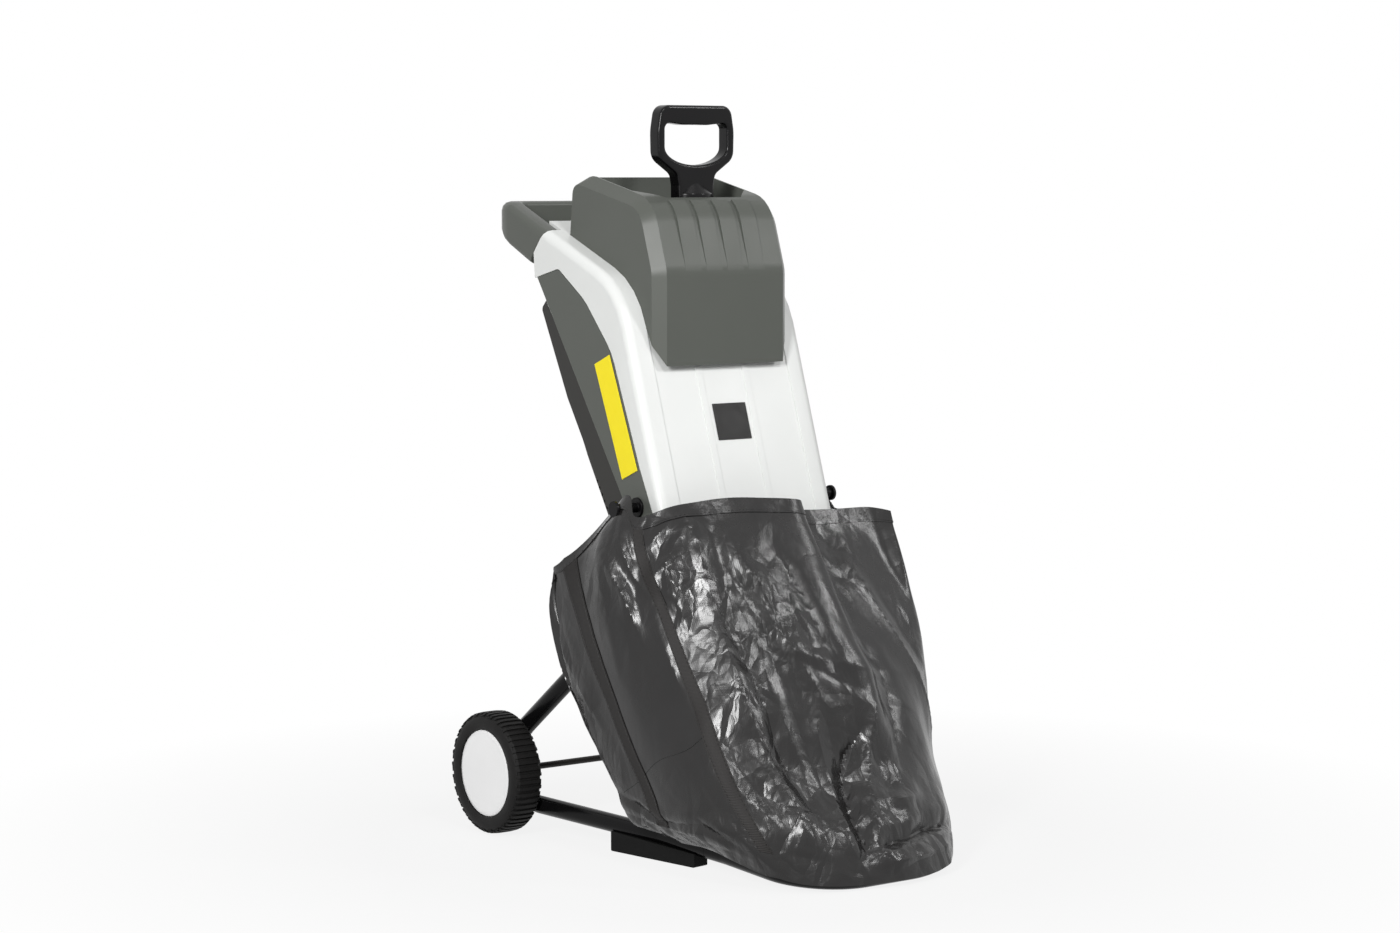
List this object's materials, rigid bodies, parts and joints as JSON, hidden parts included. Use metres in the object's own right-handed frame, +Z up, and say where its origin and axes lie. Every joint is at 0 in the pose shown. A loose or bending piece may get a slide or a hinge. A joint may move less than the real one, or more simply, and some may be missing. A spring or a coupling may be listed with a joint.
{
  "type": "electric wood chipper",
  "caption": "Upright electric wood chipper with a hopper and push plunger on a leaning housing, a two-wheeled tube frame, a rear transport handle and a hanging collection bag.",
  "frame": {"origin": "on the ground, in the middle of the whole object's bounding box", "axes": "+Z up, -Y the front with the panel and the bag, +Y the back with the handle, +X to the right as seen from the front"},
  "size_m": [0.43, 0.636, 0.8905],
  "materials": {
    "white_plastic": "white, satin moulded plastic",
    "grey_plastic": "dark grey, finely grained plastic",
    "black_plastic": "black, satin moulded plastic",
    "black_paint": "black gloss powder coat on steel tube",
    "tyre_black": "black, ribbed hard rubber",
    "cap_white": "plain white plastic",
    "bag_black": "black woven plastic sheet with a glossy coat",
    "steel": "plain machined steel",
    "blade_steel": "ground tool steel",
    "cast_aluminium": "die-cast aluminium",
    "copper_winding": "copper",
    "iron_laminations": "stacked iron sheets",
    "carbon": "pressed carbon",
    "foot_rubber": "black rubber",
    "red_button": "red plastic",
    "green_rocker": "green plastic",
    "yellow_label": "blank yellow film",
    "plate_black": "blank black film"
  },
  "bodies": {
    "chassis": {"front_shell": "white_plastic", "side_panel_left": "grey_plastic", "side_panel_right": "grey_plastic", "hopper_hood": "grey_plastic", "feed_chute": "grey_plastic", "transport_handle": "grey_plastic", "rear_cover": "black_plastic", "motor_cover": "black_plastic", "disc_housing": "black_plastic", "brush_carrier": "black_plastic", "switch_box": "black_plastic", "mains_inlet": "black_plastic", "safety_switch": "black_plastic", "bag_hook_left": "black_plastic", "bag_hook_right": "black_plastic", "side_tube_left": "black_paint", "side_tube_right": "black_paint", "front_bar": "black_paint", "collection_bag": "bag_black", "lower_bearing": "steel", "upper_bearing": "steel", "strut_bolt_left": "steel", "strut_bolt_right": "steel", "axle": "steel", "axle_retainer_left": "steel", "axle_retainer_right": "steel", "base_plate": "cast_aluminium", "motor_lower_bracket": "cast_aluminium", "motor_upper_bracket": "cast_aluminium", "field_windings": "copper_winding", "motor_stator": "iron_laminations", "carbon_brush_left": "carbon", "carbon_brush_right": "carbon", "foot_left": "foot_rubber", "foot_right": "foot_rubber", "label_strip": "yellow_label", "name_plate": "plate_black"},
    "plunger": {"plunger_handle": "black_plastic", "plunger_ram": "black_plastic"},
    "rotor": {"motor_shaft": "steel", "armature_core": "iron_laminations", "commutator": "copper_winding", "cooling_fan": "black_plastic", "cutting_disc": "steel", "cutting_blade_a": "blade_steel", "cutting_blade_b": "blade_steel", "disc_hub": "steel", "disc_bolt": "steel"},
    "wheel_left": {"wheel_tyre_left": "tyre_black", "wheel_hub_left": "cap_white", "hub_cap_left": "cap_white"},
    "wheel_right": {"wheel_tyre_right": "tyre_black", "wheel_hub_right": "cap_white", "hub_cap_right": "cap_white"},
    "switch_rocker": {"switch_rocker": "green_rocker"},
    "reset_button": {"reset_button": "red_button"},
    "lock_knob": {"lock_knob": "black_plastic", "lock_bolt": "steel"}
  },
  "joints": [
    {"name": "plunger_slide", "type": "slide", "parent": "chassis", "child": "plunger", "axis": [0, 0, 1], "range_m": [0, 0.13]},
    {"name": "rotor_spin", "type": "hinge", "parent": "chassis", "child": "rotor", "pos_m": [0, 0.02538, 0.31169], "axis": [0, 0.309, 0.9511], "continuous": true},
    {"name": "wheel_left_spin", "type": "hinge", "parent": "chassis", "child": "wheel_left", "pos_m": [-0.195, 0.208, 0.075], "axis": [1, 0, 0], "continuous": true},
    {"name": "wheel_right_spin", "type": "hinge", "parent": "chassis", "child": "wheel_right", "pos_m": [0.195, 0.208, 0.075], "axis": [1, 0, 0], "continuous": true},
    {"name": "rocker_turn", "type": "hinge", "parent": "chassis", "child": "switch_rocker", "pos_m": [0, 0.23424, 0.60923], "axis": [1, 0, 0], "range_deg": [0, 24]},
    {"name": "reset_push", "type": "slide", "parent": "chassis", "child": "reset_button", "axis": [0, -0.8911, 0.4538], "range_m": [0, 0.003], "stiffness_N_per_m": 300, "springref_m": -0.003},
    {"name": "lock_knob_turn", "type": "hinge", "parent": "chassis", "child": "lock_knob", "pos_m": [0, 0.16838, 0.50678], "axis": [0, 0.9072, -0.4207], "continuous": true}
  ]
}
